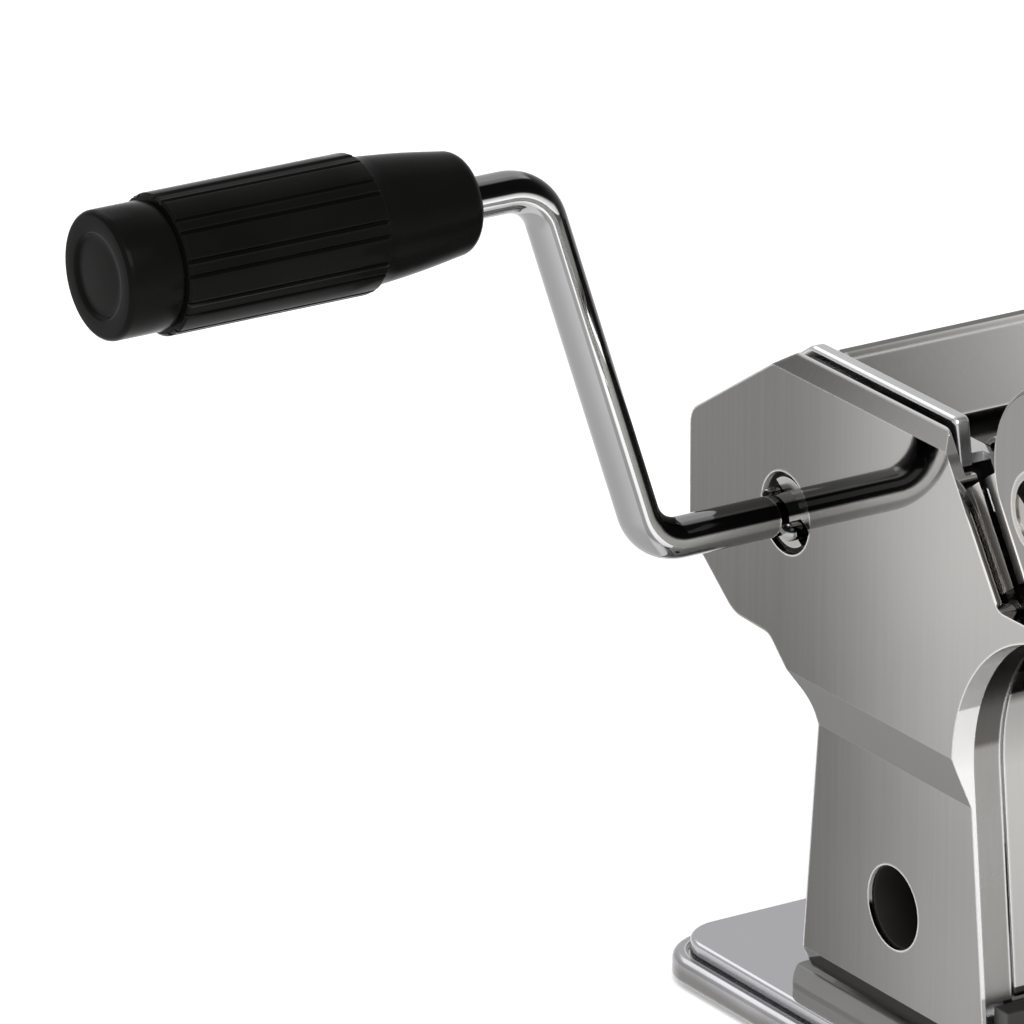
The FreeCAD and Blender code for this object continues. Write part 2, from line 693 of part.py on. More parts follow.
def grip_cap():
    """The plug that closes the grip's end, with a shallow dished face."""
    end = -COVER_X - GRIP_END
    seat = end + CAP_LENGTH
    stations = [(end, GRIP_R - 1.6), (end + 0.6, GRIP_R - 0.6), (end + 1.7, GRIP_R), (seat - 0.2, GRIP_R),
                (seat, GRIP_R - 0.6)]
    cap = turned_profile(stations, 0, CRANK_ARM)
    cap = cap.cut(rod(end - 1, end + 0.7, 0, CRANK_ARM, 7.6))
    return cap.cut(rod(end + 4.0, seat + 1, 0, CRANK_ARM, 7.2))


# ---------------------------------------------------------------- front roller and its carriage

def bearing_block_left():
    """A block that slides in the side frame's window and is pushed by a cam through its nose."""
    block = box(-83.2, -76.0, OPEN_Y - 10.0, OPEN_Y + 10.0, -11.9, 11.9)
    nose_tip = CAM_Y + CAM_MIN_R + CAM_CLEAR
    nose = box(-79.2, -76.4, nose_tip, OPEN_Y - 9.0, CAM_Z - 1.2, CAM_Z + 1.2)
    ear = box(-79.2, -76.4, -46.4, -40.0, -23.4, -11.0)
    block = fused([block, nose, ear])
    block = block.cut(rod(-84, -75, OPEN_Y, 0, 8.0))
    return block.cut(rod(-80, -75, -43.4, -20.5, 2.4))


def carriage_bushes():
    return both_sides(tube(-83.2, -76.0, OPEN_Y, 0, 8.0, JOURNAL_R + RUNNING))


def carriage_bar():
    return rod(-79.2, 79.2, -43.4, -20.5, 2.4)


def front_scraper():
    blade = bent_sheet([(-42.9, -23.9, 0), (OPEN_Y - 3.2, -16.2, 0)], -74.0, 74.0, 0.8)
    return blade.cut(carriage_bar())


def return_springs():
    """Small springs that push the bearing blocks back against the cams."""
    wire_radius = 0.55
    free_length = SLOT_BACK - OPEN_Y - 10.0 - 2 * wire_radius - 0.3
    start = SLOT_BACK - wire_radius - 0.15
    return both_sides(coil(-80.4, start, 0, 2.05, wire_radius, free_length, 4.0, V(0, -1, 0)))


def front_roller():
    return fused([rod(-ROLLER_X, ROLLER_X, OPEN_Y, 0, ROLLER_R), rod(GEAR_X0, 83.2, OPEN_Y, 0, JOURNAL_R)])


def front_gear():
    return gear(GEAR_MODULE, GEAR_TEETH, GEAR_X0, GEAR_X1, OPEN_Y, 0, JOURNAL_R, 180.0 / GEAR_TEETH)


# ---------------------------------------------------------------- gap adjuster

def cam_rod():
    bar_shape = rod(-82.6, KNOB_X1 - 1.2, CAM_Y, CAM_Z, 3.0)
    washer = rod(KNOB_X1 - 2.6, KNOB_X1 - 1.4, CAM_Y, CAM_Z, 5.4)
    return fused([bar_shape, washer])


def cam_radius(angle):
    """Radius at an angle past the rest contact: a spiral rise, then a smooth return."""
    if angle <= CAM_TURN:
        return CAM_MIN_R + GAP_TRAVEL * angle / CAM_TURN
    back = (angle - CAM_TURN) / (360.0 - CAM_TURN)
    return CAM_MIN_R + GAP_TRAVEL * (1 + math.cos(math.pi * back)) / 2


def cams():
    """Spiral cams, one at each end of the front roller."""
    pair = []
    for x0, x1 in ((-79.2, -76.4), (76.4, 79.2)):
        points = []
        for step in range(72):
            angle = step * 5.0
            turn = math.radians(-angle)
            r = cam_radius(angle)
            points.append(V(x0, CAM_Y + r * math.cos(turn), CAM_Z + r * math.sin(turn)))
        cam = Part.Face(Part.makePolygon(points + [points[0]])).extrude(V(x1 - x0, 0, 0))
        pair.append(cam.cut(rod(x0 - 1, x1 + 1, CAM_Y, CAM_Z, 3.0)))
    return Part.makeCompound(pair)


def knob():
    """The thickness knob, fluted round its rim, hollow for its spring."""
    stations = [(KNOB_X0, KNOB_R), (KNOB_X1 - 1.5, KNOB_R - 1.0), (KNOB_X1, KNOB_R - 2.8)]
    shape = turned_profile(stations, CAM_Y, CAM_Z)
    for i in range(20):
        angle = math.radians(18 * i)
        y = CAM_Y + (KNOB_R + 0.6) * math.cos(angle)
        z = CAM_Z + (KNOB_R + 0.6) * math.sin(angle)
        shape = shape.cut(rod(KNOB_X0 + 3.0, KNOB_X1 + 1, y, z, 1.5))
    shape = shape.cut(rod(KNOB_X0 - 1, KNOB_X1 + 1, CAM_Y, CAM_Z, 3.05))
    return shape.cut(rod(KNOB_X0 + 6.0, KNOB_X1 + 1, CAM_Y, CAM_Z, 6.0))


def knob_plug():
    plug = rod(KNOB_X1, KNOB_END, CAM_Y, CAM_Z, 7.4)
    edge = [e for e in plug.Edges if e.BoundBox.XMin > KNOB_END - 0.01]
    return plug.makeFillet(1.2, edge)


def knob_peg():
    return rod(KNOB_X0 - 2.0, KNOB_X0, CAM_Y, CAM_Z + 13.2, 0.9)


def knob_spring():
    return coil(KNOB_X0 + 6.6, CAM_Y, CAM_Z, 4.4, 0.4, KNOB_X1 - KNOB_X0 - 9.8, 3.6, ALONG)


# ---------------------------------------------------------------- cutter head

def head_outline():
    """The head's side plate: its rear edge is parallel to the rails, its top falls to the front."""
    rear_gap = 5.5
    drop = math.radians(HEAD_DROP)
    forward = (-math.cos(drop), -math.sin(drop))
    upward = (-math.sin(drop), math.cos(drop))
    along = RAIL_OUT[0] * forward[0] + RAIL_OUT[1] * forward[1]
    across = RAIL_OUT[0] * upward[0] + RAIL_OUT[1] * upward[1]
    start = RAIL_OUT[0] * (HEAD_Y - RAIL_Y) + RAIL_OUT[1] * (HEAD_Z - RAIL_Z)
    top_h = (rear_gap - start - across * HEAD_TOP) / along
    bottom_h = (rear_gap - start - across * HEAD_BOTTOM) / along
    return [(*head_point(top_h, HEAD_TOP), 18.0), (*head_point(HEAD_FRONT, HEAD_TOP), HEAD_FRONT_R),
            (*head_point(HEAD_FRONT, HEAD_BOTTOM), HEAD_FRONT_R), (*head_point(bottom_h, HEAD_BOTTOM), 2.5)]


def axis_place(h):
    return head_point(h, 0)


WIDE_DRIVER_H = 0.0
WIDE_FOLLOWER_H = PAIR_GAP
FINE_FOLLOWER_H = PAIR_GAP + PAIR_STEP
FINE_DRIVER_H = 2 * PAIR_GAP + PAIR_STEP


def head_tie_places():
    return [head_point(33.7, 17.0), head_point(33.7, -12.0), head_point(78.5, 11.0)]


def head_plate_left():
    shape = plate(head_outline(), -HEAD_OUT, -HEAD_IN)
    outer_edges = [e for e in shape.Edges if e.BoundBox.XMax < -HEAD_OUT + 0.01]
    shape = shape.makeFillet(0.8, outer_edges)
    for h in (WIDE_DRIVER_H, FINE_DRIVER_H):
        shape = shape.cut(rod(-HEAD_OUT - 1, -HEAD_IN + 1, *axis_place(h), 8.0))
    return shape


def head_plate_right():
    shape = plate(head_outline(), -HEAD_OUT, -HEAD_IN)
    outer_edges = [e for e in shape.Edges if e.BoundBox.XMax < -HEAD_OUT + 0.01]
    return mirrored(shape.makeFillet(0.8, outer_edges))


def head_hood():
    """The top sheet of the head, with a feed slot over each pair of cutters."""
    outline = Part.Face(rounded_wire(head_outline(), in_yz(-HEAD_IN)))
    outside = outline.makeOffset2D(-0.6, 0)
    inside = outline.makeOffset2D(-1.6, 0)
    ring = outside.cut(inside).extrude(V(2 * HEAD_IN, 0, 0))
    keep = head_box(-HEAD_IN, HEAD_IN, -30.0, HEAD_FRONT + 1, 2.0, HEAD_TOP + 1)
    hood = ring.common(keep)
    for h in slot_places():
        hood = hood.cut(head_box(-ROLLER_X, ROLLER_X, h - 7.0, h + 7.0, 10.0, HEAD_TOP + 2))
    hood = hood.cut(rail_box(-HEAD_IN - 1, -79.0, -40.0, 40.0, 0.0, 8.6))
    return hood.cut(rail_box(79.0, HEAD_IN + 1, -40.0, 40.0, 0.0, 8.6))


def slot_places():
    return [PAIR_GAP / 2, FINE_FOLLOWER_H + PAIR_GAP / 2]


def feed_guides():
    """Four sloping lips that lead a sheet of dough from each slot down to the cutters."""
    guides = []
    for h in slot_places():
        for side in (-1, 1):
            outer = head_point(h + side * 7.0, HEAD_TOP - 1.7)
            inner = head_point(h + side * 2.6, 13.4)
            path = [(*outer, 0), (*inner, 0)]
            guides.append(bent_sheet(path, -ROLLER_X, ROLLER_X, 0.8 * side))
    return Part.makeCompound(guides)


def head_tie_rods():
    rods = []
    for y, z in head_tie_places():
        rods.append(rod(-HEAD_IN, HEAD_IN, y, z, 2.6))
    return Part.makeCompound(rods)


def head_slides():
    """Channels at the back of the head that run on the housing's rails."""
    block = fused([rail_box(-85.8, -RIB_X, 2.5, 23.0, 0.4, 5.5),
                   rail_box(-HEAD_IN, -RIB_X, 2.5, 23.0, 5.4, 8.4)])
    channel = rail_box(-84.95, -81.05, 0, 30, 1.45, 3.15)
    throat = rail_box(-84.05, -81.85, 0, 30, 0, 1.5)
    block = block.cut(channel).cut(throat)
    return both_sides(block)


def head_bushes():
    bushes = []
    for h in (WIDE_DRIVER_H, FINE_DRIVER_H):
        y, z = axis_place(h)
        bushes.append(tube(-HEAD_OUT, -83.0, y, z, 8.0, SOCKET_R + RUNNING))
        bushes.append(tube(83.0, HEAD_IN, y, z, 8.0, JOURNAL_R + RUNNING))
    for h in (WIDE_FOLLOWER_H, FINE_FOLLOWER_H):
        y, z = axis_place(h)
        bushes.append(tube(-HEAD_IN, -83.0, y, z, 7.0, JOURNAL_R - 1 + RUNNING))
        bushes.append(tube(83.0, HEAD_IN, y, z, 7.0, JOURNAL_R - 1 + RUNNING))
    return Part.makeCompound(bushes)


def cutter(pitch, shifted, h, driver):
    """A grooved cutting roller; its discs stand in the grooves of its partner."""
    y, z = axis_place(h)
    half = pitch / 2
    stations = [(-RIB_X + 4.0, GROOVE_R)]
    count = int((2 * ROLLER_X - 2) / pitch)
    start = -count * pitch / 2 + (half if shifted else 0)
    for i in range(count + (0 if shifted else 1)):
        left = start + i * pitch - half / 2 + CUTTER_SIDE
        right = start + i * pitch + half / 2 - CUTTER_SIDE
        stations += [(left, GROOVE_R), (left, CUTTER_R), (right, CUTTER_R), (right, GROOVE_R)]
    stations.append((RIB_X - 4.0, GROOVE_R))
    body = turned_profile(stations, y, z)
    right_r = JOURNAL_R if driver else JOURNAL_R - 1
    right_end = rod(RIB_X - 4.0, HEAD_IN - 0.2, y, z, right_r)
    if not driver:
        return fused([body, right_end, rod(-HEAD_IN + 0.2, -RIB_X + 4.0, y, z, right_r)])
    mouth = -HEAD_OUT + 0.4
    body = body.cut(rod(-RIB_X, mouth + SOCKET_DEPTH, y, z, SOCKET_BORE_R))
    return fused([body, right_end, socket_end(mouth, 0, y, z, -RIB_X + 4.0)])


def cutter_gear(h, driver):
    y, z = axis_place(h)
    lean = HEAD_DROP + 180.0
    partner_ahead = h in (WIDE_DRIVER_H, FINE_FOLLOWER_H)
    towards = lean if partner_ahead else lean + 180.0
    phase = towards if driver else towards + 180.0 / GEAR_TEETH
    bore = SOCKET_R if driver else JOURNAL_R - 1
    return gear(CUTTER_MODULE, GEAR_TEETH, CUTTER_GEAR_X0, CUTTER_GEAR_X1, y, z, bore, phase, backlash=0.16)


def comb(pitch, shifted, h):
    """A stripper comb under one cutter, with a finger in each groove."""
    spine = head_box(-76.0, 76.0, h - 2.0, h + 2.0, -15.6, -12.6)
    count = int((2 * ROLLER_X - 2) / pitch)
    start = -count * pitch / 2 + (0 if shifted else pitch / 2)
    fingers = [spine]
    width = pitch / 2 - 0.8
    for i in range(count + (1 if shifted else 0)):
        x = start + i * pitch
        fingers.append(head_box(x - width / 2, x + width / 2, h - 1.2, h + 1.2, -13.0, -10.2))
    return fused(fingers)


def wide_combs():
    return Part.makeCompound([comb(WIDE_PITCH, False, WIDE_DRIVER_H),
                              comb(WIDE_PITCH, True, WIDE_FOLLOWER_H)])


def fine_combs():
    return Part.makeCompound([comb(FINE_PITCH, True, FINE_FOLLOWER_H),
                              comb(FINE_PITCH, False, FINE_DRIVER_H)])


# ---------------------------------------------------------------- assembly

def front_most():
    """Front of the head: its upper front corner is the machine's furthest point forward."""
    y, _ = head_point(HEAD_FRONT - HEAD_FRONT_R, HEAD_TOP - HEAD_FRONT_R)
    return y - HEAD_FRONT_R


def export_shift():
    return V(-X_MID, -(front_most() + BASE_BACK) / 2, AXIS_HEIGHT)


def machine_nodes():
    wide_gears = (cutter_gear(WIDE_DRIVER_H, True), cutter_gear(WIDE_FOLLOWER_H, False))
    fine_gears = (cutter_gear(FINE_DRIVER_H, True), cutter_gear(FINE_FOLLOWER_H, False))
    return {
        "base_tray": base_tray(), "base_feet": base_feet(), "leg_plinths": leg_plinths(),
        "base_bolts": base_bolts(), "front_sill": front_sill(),
        "side_cover_left": side_cover_left(), "side_cover_right": side_cover_right(),
        "side_frame_left": side_frame_left(), "side_frame_right": mirrored(side_frame_left()),
        "tie_rods": tie_rods(), "tie_rod_nuts": tie_rod_nuts(), "cover_posts": cover_posts(),
        "accessory_socket_left": accessory_socket(), "accessory_socket_right": mirrored(accessory_socket()),
        "arch_flanges": arch_flanges(), "arch_panel": arch_panel(), "rear_cover": rear_cover(),
        "rear_guide_plate": rear_guide_plate(), "front_guide_plate": front_guide_plate(),
        "head_rails": head_rails(), "frame_bushes": frame_bushes(), "drive_scraper": drive_scraper(),
        "scraper_bar": scraper_bar(), "dial_ring": dial_ring(),
        "drive_roller": drive_roller(), "drive_gear": drive_gear(),
        "crank_rod": crank_rod(), "grip_retainer": grip_retainer(),
        "grip_body": grip_body(), "grip_cap": grip_cap(),
        "bearing_block_left": bearing_block_left(), "bearing_block_right": mirrored(bearing_block_left()),
        "carriage_bushes": carriage_bushes(), "carriage_bar": carriage_bar(),
        "front_scraper": front_scraper(), "return_springs": return_springs(),
        "front_roller": front_roller(), "front_gear": front_gear(),
        "cam_rod": cam_rod(), "cams": cams(),
        "knob": knob(), "knob_plug": knob_plug(), "knob_peg": knob_peg(), "knob_spring": knob_spring(),
        "head_plate_left": head_plate_left(), "head_plate_right": head_plate_right(),
        "head_hood": head_hood(), "feed_guides": feed_guides(), "head_tie_rods": head_tie_rods(),
        "head_slides": head_slides(), "head_bushes": head_bushes(),
        "wide_combs": wide_combs(), "fine_combs": fine_combs(),
        "wide_driver": cutter(WIDE_PITCH, False, WIDE_DRIVER_H, True), "wide_driver_gear": wide_gears[0],
        "wide_follower": cutter(WIDE_PITCH, True, WIDE_FOLLOWER_H, False),
        "wide_follower_gear": wide_gears[1],
        "fine_driver": cutter(FINE_PITCH, False, FINE_DRIVER_H, True), "fine_driver_gear": fine_gears[0],
        "fine_follower": fused([cutter(FINE_PITCH, True, FINE_FOLLOWER_H, False), fine_gears[1]]),
    }


def main():
    os.makedirs("parts", exist_ok=True)
    shift = export_shift()
    for name, shape in machine_nodes().items():
        shape.translate(shift)
        shape.exportStep(f"parts/{name}.step")
        print(name, "valid" if shape.isValid() else "INVALID", len(shape.Solids), round(shape.Volume))


if __name__ == "__main__":
    main()
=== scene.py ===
import json
import math

import bmesh
import bpy
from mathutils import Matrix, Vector


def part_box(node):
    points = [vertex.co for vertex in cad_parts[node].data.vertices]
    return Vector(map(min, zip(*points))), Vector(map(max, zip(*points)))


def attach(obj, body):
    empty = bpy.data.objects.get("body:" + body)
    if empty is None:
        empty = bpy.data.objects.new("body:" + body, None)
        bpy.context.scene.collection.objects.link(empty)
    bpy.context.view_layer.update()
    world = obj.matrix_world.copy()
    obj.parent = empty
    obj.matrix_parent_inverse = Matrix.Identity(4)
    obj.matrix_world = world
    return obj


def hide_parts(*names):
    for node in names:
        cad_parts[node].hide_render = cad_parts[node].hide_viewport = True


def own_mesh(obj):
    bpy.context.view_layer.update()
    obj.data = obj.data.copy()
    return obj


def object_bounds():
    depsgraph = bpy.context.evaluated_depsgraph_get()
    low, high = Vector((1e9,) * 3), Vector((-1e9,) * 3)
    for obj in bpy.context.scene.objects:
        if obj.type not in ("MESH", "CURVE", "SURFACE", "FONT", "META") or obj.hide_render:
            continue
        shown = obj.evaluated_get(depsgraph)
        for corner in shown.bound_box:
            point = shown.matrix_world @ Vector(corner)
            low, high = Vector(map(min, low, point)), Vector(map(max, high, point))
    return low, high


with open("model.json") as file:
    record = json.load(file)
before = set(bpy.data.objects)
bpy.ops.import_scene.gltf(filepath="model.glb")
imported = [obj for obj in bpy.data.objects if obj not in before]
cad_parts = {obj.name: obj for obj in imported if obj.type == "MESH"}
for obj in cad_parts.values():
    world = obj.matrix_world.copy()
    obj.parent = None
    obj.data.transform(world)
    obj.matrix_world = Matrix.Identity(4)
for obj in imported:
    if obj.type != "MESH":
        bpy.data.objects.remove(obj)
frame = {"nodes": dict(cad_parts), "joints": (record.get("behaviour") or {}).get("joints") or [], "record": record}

cad_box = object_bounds()
NODES = frame["nodes"]
RECORD = frame["record"]
MM = 0.001


# ---------------------------------------------------------------- places read from the frame

def joint_place(name):
    for joint in frame["joints"]:
        if joint["name"] == name:
            return Vector(joint["pos_m"])
    raise ValueError(name)


AXIS = joint_place("drive_spin")
COVER_LOW, COVER_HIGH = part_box("side_cover_left")
CRANK_HOLE = Vector((COVER_LOW.x, AXIS.y, AXIS.z))
MIDDLE = Vector(((cad_box[0][0] + cad_box[1][0]) / 2, AXIS.y, AXIS.z / 2))

# Camera: it looks down a little from the front left, with the crank's hole right of the middle
AZIMUTH = math.radians(-32.57)
ELEVATION = math.radians(20.41)
DISTANCE = 2.243
VIEW_WIDTH = 0.1914
AIM_LEFT = 0.0511
AIM_UP = 0.0002


# ---------------------------------------------------------------- stage

def make_camera():
    right = Vector((math.cos(AZIMUTH), math.sin(AZIMUTH), 0))
    back = Vector((math.sin(AZIMUTH) * math.cos(ELEVATION), -math.cos(AZIMUTH) * math.cos(ELEVATION),
                   math.sin(ELEVATION)))
    up = back.cross(right)
    data = bpy.data.cameras.new("camera")
    data.sensor_width = 36.0
    data.lens = data.sensor_width * DISTANCE / VIEW_WIDTH
    data.clip_end = 20.0
    camera = bpy.data.objects.new("camera", data)
    camera.location = CRANK_HOLE - right * AIM_LEFT + up * AIM_UP + back * DISTANCE
    camera.rotation_euler = (-back).to_track_quat("-Z", "Y").to_euler()
    bpy.context.scene.collection.objects.link(camera)
    bpy.context.scene.camera = camera


def area_light(name, place, target, size, power):
    data = bpy.data.lights.new(name, "AREA")
    data.shape = "RECTANGLE"
    data.size, data.size_y = size
    data.energy = power
    light = bpy.data.objects.new(name, data)
    light.location = MIDDLE + Vector(place)
    light.rotation_euler = (Vector(target) - Vector(place)).to_track_quat("-Z", "Y").to_euler()
    bpy.context.scene.collection.objects.link(light)


def world_patch(tree, colour, direction, inner, outer, grey):
    """Blends a soft round patch of grey into the world, seen in one direction; angles in degrees."""
    where = tree.nodes.new("ShaderNodeTexCoord")
    towards = tree.nodes.new("ShaderNodeVectorMath")
    towards.operation = "DOT_PRODUCT"
    towards.inputs[1].default_value = Vector(direction).normalized()
    tree.links.new(where.outputs["Generated"], towards.inputs[0])
    edge = tree.nodes.new("ShaderNodeMapRange")
    edge.interpolation_type = "SMOOTHSTEP"
    edge.inputs["From Min"].default_value = math.cos(math.radians(outer))
    edge.inputs["From Max"].default_value = math.cos(math.radians(inner))
    tree.links.new(towards.outputs["Value"], edge.inputs["Value"])
    mix = tree.nodes.new("ShaderNodeMix")
    mix.data_type = "RGBA"
    tree.links.new(edge.outputs["Result"], mix.inputs["Factor"])
    tree.links.new(colour, mix.inputs["A"])
    mix.inputs["B"].default_value = (grey, grey, grey, 1)
    return mix.outputs["Result"]


def make_world():
    world = bpy.data.worlds.new("studio")
    bpy.context.scene.world = world
    world.use_nodes = True
    tree = world.node_tree
    base = tree.nodes.new("ShaderNodeRGB")
    base.outputs["Color"].default_value = (0.85, 0.85, 0.86, 1)
    colour = base.outputs["Color"]
    colour = world_patch(tree, colour, (0.62, -0.45, 0.66), 22, 46, 0.32)
    tree.links.new(colour, tree.nodes["Background"].inputs["Color"])


def make_floor():
    reach = 3.0
    mesh = bpy.data.meshes.new("floor")
    mesh.from_pydata([(-reach, -reach, 0), (reach, -reach, 0), (reach, reach, 0), (-reach, reach, 0)],
                     [], [(0, 1, 2, 3)])
    floor = bpy.data.objects.new("floor", mesh)
    bpy.context.scene.collection.objects.link(floor)
    material, nodes, links, shader = new_material("floor")
    shader.inputs["Base Color"].default_value = (0.9, 0.9, 0.9, 1)
    shader.inputs["Roughness"].default_value = 0.9
    shader.inputs["Specular IOR Level"].default_value = 0.1
    shader.inputs["Emission Color"].default_value = (1, 1, 1, 1)
    shader.inputs["Emission Strength"].default_value = 0.3
    mesh.materials.append(material)


# ---------------------------------------------------------------- material building

def new_material(name):
    material = bpy.data.materials.new(name)
    material.use_nodes = True
    tree = material.node_tree
    return material, tree.nodes, tree.links, tree.nodes["Principled BSDF"]


def object_space(nodes, links, scale=(1, 1, 1)):
    where = nodes.new("ShaderNodeTexCoord")
    mapping = nodes.new("ShaderNodeMapping")
    mapping.inputs["Scale"].default_value = scale
    links.new(where.outputs["Object"], mapping.inputs["Vector"])
    return mapping.outputs["Vector"]


def noise(nodes, links, space, scale, detail=4.0, roughness=0.5):
    texture = nodes.new("ShaderNodeTexNoise")
    texture.inputs["Scale"].default_value = scale
    texture.inputs["Detail"].default_value = detail
    texture.inputs["Roughness"].default_value = roughness
    links.new(space, texture.inputs["Vector"])
    return texture.outputs["Fac"]


def remap(nodes, links, value, from_low, from_high, low, high, smooth=False):
    node = nodes.new("ShaderNodeMapRange")
    if smooth:
        node.interpolation_type = "SMOOTHSTEP"
    node.inputs["From Min"].default_value = from_low
    node.inputs["From Max"].default_value = from_high
    node.inputs["To Min"].default_value = low
    node.inputs["To Max"].default_value = high
    links.new(value, node.inputs["Value"])
    return node.outputs["Result"]


def blend_colours(nodes, links, factor, first, second):
    """Mixes two colours; each is a tuple or another node's output."""
    node = nodes.new("ShaderNodeMix")
    node.data_type = "RGBA"
    links.new(factor, node.inputs["Factor"])
    for socket, colour in (("A", first), ("B", second)):
        if isinstance(colour, tuple):
            node.inputs[socket].default_value = (*colour, 1)
        else:
            links.new(colour, node.inputs[socket])
    return node.outputs["Result"]


def calculate(nodes, links, operation, first, second):
    node = nodes.new("ShaderNodeMath")
    node.operation = operation
    for i, value in enumerate((first, second)):
        if isinstance(value, (int, float)):
            node.inputs[i].default_value = value
        else:
            links.new(value, node.inputs[i])
    return node.outputs["Value"]


def bump(nodes, links, height, strength, distance):
    node = nodes.new("ShaderNodeBump")
    node.inputs["Strength"].default_value = strength
    node.inputs["Distance"].default_value = distance
    links.new(height, node.inputs["Height"])
    return node.outputs["Normal"]


def facing(nodes, links, axis, start, end):
    """Rises from 0 to 1 as the surface's own normal goes from start to end along one axis."""
    where = nodes.new("ShaderNodeTexCoord")
    split = nodes.new("ShaderNodeSeparateXYZ")
    links.new(where.outputs["Normal"], split.inputs["Vector"])
    return remap(nodes, links, split.outputs[axis], start, end, 0.0, 1.0, smooth=True)


def all_of(nodes, links, *masks):
    product = masks[0]
    for mask in masks[1:]:
        product = calculate(nodes, links, "MULTIPLY", product, mask)
    return product


def tint(nodes, links, colour, mask, strength, paint):
    """Paints one colour over another where a mask is set, by no more than a strength."""
    share = calculate(nodes, links, "MULTIPLY", mask, strength)
    return blend_colours(nodes, links, share, colour, paint)


def edge_mask(nodes, links, radius, start=0.995, end=0.9):
    """0 on flats and 1 along sharp edges, within about a radius; start and end are cosines of the turn."""
    rounded = nodes.new("ShaderNodeBevel")
    rounded.samples = 4
    rounded.inputs["Radius"].default_value = radius
    plain = nodes.new("ShaderNodeNewGeometry")
    same = nodes.new("ShaderNodeVectorMath")
    same.operation = "DOT_PRODUCT"
    links.new(rounded.outputs["Normal"], same.inputs[0])
    links.new(plain.outputs["Normal"], same.inputs[1])
    return remap(nodes, links, same.outputs["Value"], start, end, 0.0, 1.0)


def metal(name, dark, light, smooth, rough, grain=(1, 1, 1), scuff=0.0):
    """Bare metal: clouded colour, smudged gloss, fine grain, and edges rubbed bright."""
    material, nodes, links, shader = new_material(name)
    shader.inputs["Metallic"].default_value = 1.0
    even = object_space(nodes, links)
    cloud = noise(nodes, links, even, 25.0, 5.0)
    smudge = noise(nodes, links, even, 70.0, 6.0, 0.6)
    fine = noise(nodes, links, object_space(nodes, links, grain), 1400.0, 3.0)
    edges = edge_mask(nodes, links, 0.0005)
    base = blend_colours(nodes, links, remap(nodes, links, cloud, 0.3, 0.7, 0, 1), dark, light)
    bright = tuple(min(1.0, c * 1.25) for c in light)
    links.new(blend_colours(nodes, links, edges, base, bright), shader.inputs["Base Color"])
    gloss = remap(nodes, links, smudge, 0.3, 0.7, smooth, rough)
    if scuff:
        streak = noise(nodes, links, object_space(nodes, links, grain), 300.0, 2.0, 0.7)
        marks = remap(nodes, links, streak, 0.58, 0.75, 0.0, scuff)
        gloss = calculate(nodes, links, "ADD", gloss, marks)
    links.new(gloss, shader.inputs["Roughness"])
    links.new(bump(nodes, links, fine, 0.25, 0.00001), shader.inputs["Normal"])
    return material


def housing_steel(name, low_colour, high_colour, low_at, high_at, axis="Y", down_shade=(-0.25, -0.33, 0.85),
                  down_shade_colour=(0.058, 0.056, 0.052), gloss=(0.025, 0.05), body=1.0, lip=0.0,
                  shade_low=0.0, shade_from=0.0, shade_to=0.0):
    """Polished sheet with a faint grain; its colour carries painted reflection and shade: the tone ramps from
    darker to lighter along one axis, and faces that look down get painted shade.
    A body under 1 makes it a little milky, lip paints a white highlight on the rounded lip along its front and
    painted light on the slanted wall behind it, and shade_low paints shade that deepens between two heights,
    darker towards the bottom."""
    material, nodes, links, shader = new_material(name)
    even = object_space(nodes, links)
    split = nodes.new("ShaderNodeSeparateXYZ")
    links.new(even, split.inputs["Vector"])
    shift = remap(nodes, links, noise(nodes, links, even, 9.0, 3.0), 0.3, 0.7, -0.004, 0.004)
    along = calculate(nodes, links, "ADD", split.outputs[axis], shift)
    # Painted reflection and shade: the tone ramps from the darker to the lighter colour along one axis
    sweep = remap(nodes, links, along, low_at, high_at, 0.0, 1.0, smooth=True)
    colour = blend_colours(nodes, links, sweep, low_colour, high_colour)
    if shade_low:
        # Painted shade: the tone grows darker towards the bottom
        depth = remap(nodes, links, split.outputs["Z"], shade_from, shade_to, 0.0, shade_low, smooth=True)
        colour = blend_colours(nodes, links, depth, colour, (0.02, 0.019, 0.018))
    grain = noise(nodes, links, object_space(nodes, links, (1, 1, 0.02)), 900.0, 4.0)
    colour = blend_colours(nodes, links, remap(nodes, links, grain, 0.35, 0.65, 0.0, 0.012), colour,
                           (0.9, 0.88, 0.85))
    # Painted shade: faces that look down are darkened
    looks_down = facing(nodes, links, "Z", down_shade[0], down_shade[1])
    colour = tint(nodes, links, colour, looks_down, down_shade[2], down_shade_colour)
    # Near white along sharp edges: partly rubbed edge wear, partly a painted highlight
    edges = edge_mask(nodes, links, 0.0009, 0.96, 0.8)
    colour = tint(nodes, links, colour, edges, 0.85, (0.85, 0.84, 0.82))
    shader.inputs["Metallic"].default_value = body
    if lip:
        # Painted light: the slanted front wall is lightened
        painted_light_slope = all_of(nodes, links,
                       facing(nodes, links, "Z", 0.35, 0.5), facing(nodes, links, "Y", -0.45, -0.6))
        colour = tint(nodes, links, colour, painted_light_slope, 0.8, (0.60, 0.59, 0.57))
        # Painted highlight: the rounded lip is whitened, and its metallic share drops
        lip_highlight = all_of(nodes, links,
                        facing(nodes, links, "X", -0.8, -0.5), facing(nodes, links, "X", 0.8, 0.5),
                        facing(nodes, links, "Z", 0.25, 0.1), facing(nodes, links, "Y", 0.3, 0.1))
        colour = blend_colours(nodes, links, lip_highlight, colour, (0.64, 0.635, 0.625))
        links.new(remap(nodes, links, lip_highlight, 0.0, 1.0, body, 1.0 - lip), shader.inputs["Metallic"])
    links.new(colour, shader.inputs["Base Color"])
    smudge = noise(nodes, links, even, 45.0, 6.0, 0.6)
    links.new(remap(nodes, links, smudge, 0.3, 0.7, gloss[0], gloss[1]), shader.inputs["Roughness"])
    links.new(bump(nodes, links, grain, 0.05, 0.000002), shader.inputs["Normal"])
    return material


